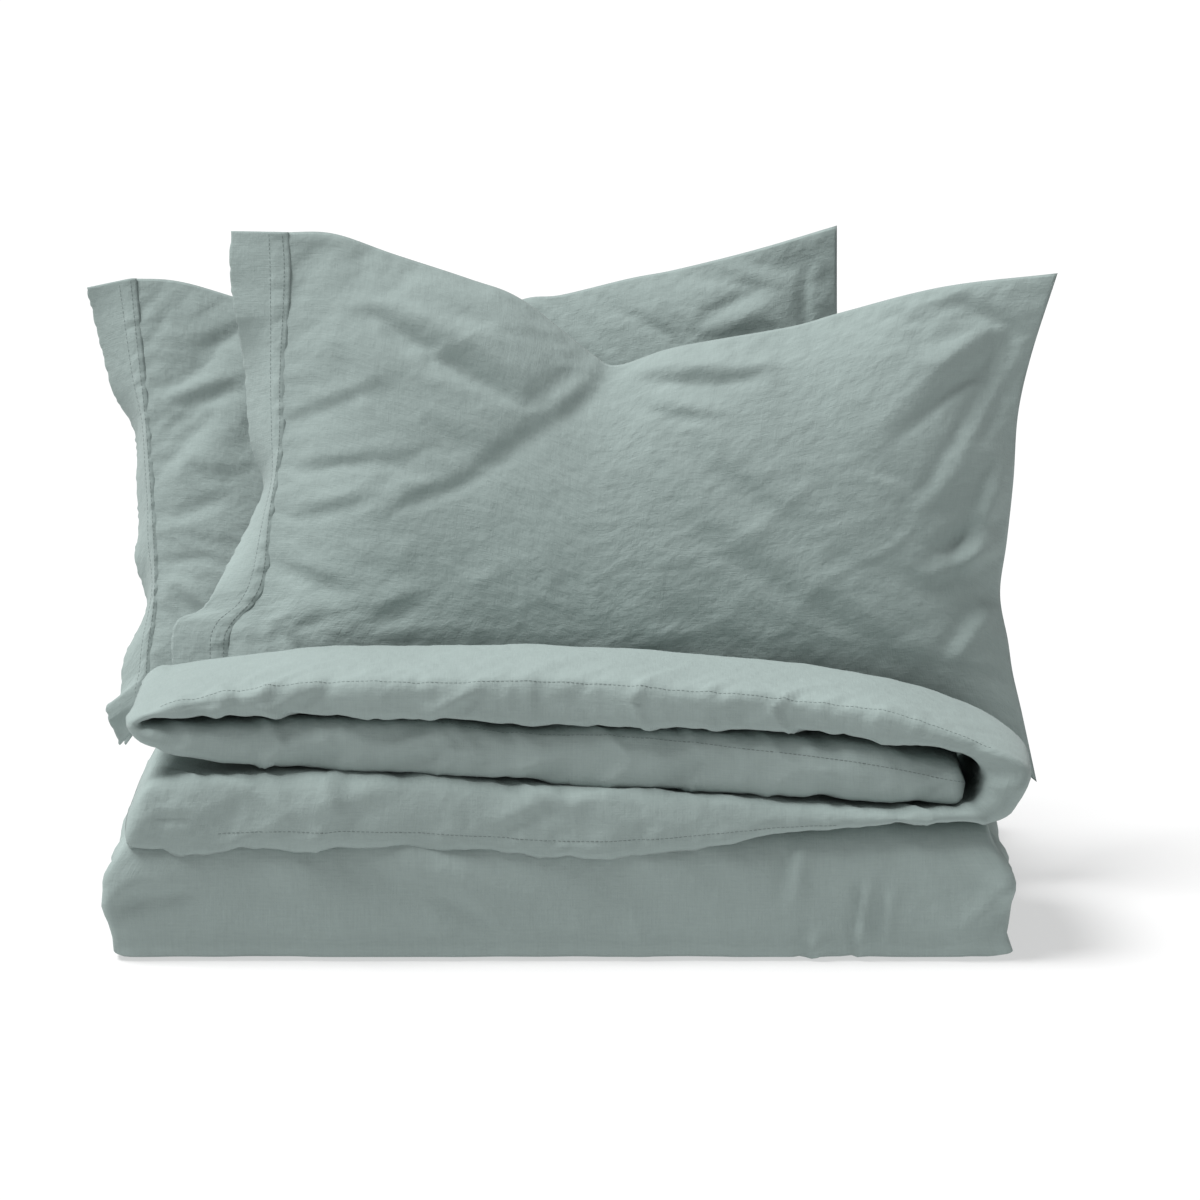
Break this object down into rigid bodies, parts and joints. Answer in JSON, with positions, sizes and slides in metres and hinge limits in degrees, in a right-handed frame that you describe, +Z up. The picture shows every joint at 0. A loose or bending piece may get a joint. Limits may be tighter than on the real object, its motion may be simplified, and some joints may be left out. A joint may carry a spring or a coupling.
{
  "type": "folded duvet",
  "caption": "Folded cotton duvet under a hemmed, letter-folded cover, with plump pillows in matching cases leaning behind it.",
  "frame": {"origin": "middle of the footprint, on the surface that the duvet lies on", "axes": "+X to the right along the folded edge, seen from the front; +Y to the back, where the pillows lean; +Z up"},
  "size_m": [0.8764, 0.5098, 0.5681],
  "materials": {
    "cotton": "matte",
    "cotton_hem": "matte",
    "casing": "matte",
    "filling": "matte"
  },
  "bodies": {
    "duvet": {"duvet_cover": "cotton", "duvet_cover_hem": "cotton_hem", "quilt_casing": "casing", "quilt_filling": "filling"},
    "top_fold": {"fold_lower_outer_plies": "cotton", "fold_lower_inner_plies": "cotton", "fold_lower_hem": "cotton_hem", "fold_elbow_outer_ply": "cotton"},
    "top_fold_flap": {"fold_middle_outer_plies": "cotton", "fold_middle_inner_plies": "cotton", "fold_middle_hem": "cotton_hem", "fold_upper_outer_plies": "cotton", "fold_upper_inner_plies": "cotton", "fold_upper_hem": "cotton_hem", "fold_left_turn": "cotton", "fold_elbow_inner_ply": "cotton"},
    "front_pillow": {"front_pillow_case_front_panel": "cotton", "front_pillow_case_back_panel": "cotton", "front_pillow_case_hem_front": "cotton_hem", "front_pillow_case_hem_back": "cotton_hem", "front_pillow_case_inner_flap": "cotton_hem", "front_pillow_casing": "casing", "front_pillow_filling": "filling"},
    "back_pillow": {"back_pillow_case_front_panel": "cotton", "back_pillow_case_back_panel": "cotton", "back_pillow_case_hem_front": "cotton_hem", "back_pillow_case_hem_back": "cotton_hem", "back_pillow_case_inner_flap": "cotton_hem", "back_pillow_casing": "casing", "back_pillow_filling": "filling"}
  },
  "joints": [
    {"name": "top_fold_lift", "type": "slide", "parent": "duvet", "child": "top_fold", "axis": [0, 0, 1], "range_m": [0, 0.46]},
    {"name": "top_fold_open", "type": "hinge", "parent": "top_fold", "child": "top_fold_flap", "pos_m": [0.3722, -0.1449, 0.145], "axis": [0, 1, 0], "range_deg": [0, 75]},
    {"name": "front_pillow_lift", "type": "slide", "parent": "duvet", "child": "front_pillow", "axis": [0, 0.2079, 0.9781], "range_m": [0, 0.5]},
    {"name": "back_pillow_lift", "type": "slide", "parent": "duvet", "child": "back_pillow", "axis": [0, 0.2079, 0.9781], "range_m": [0, 0.5]}
  ]
}
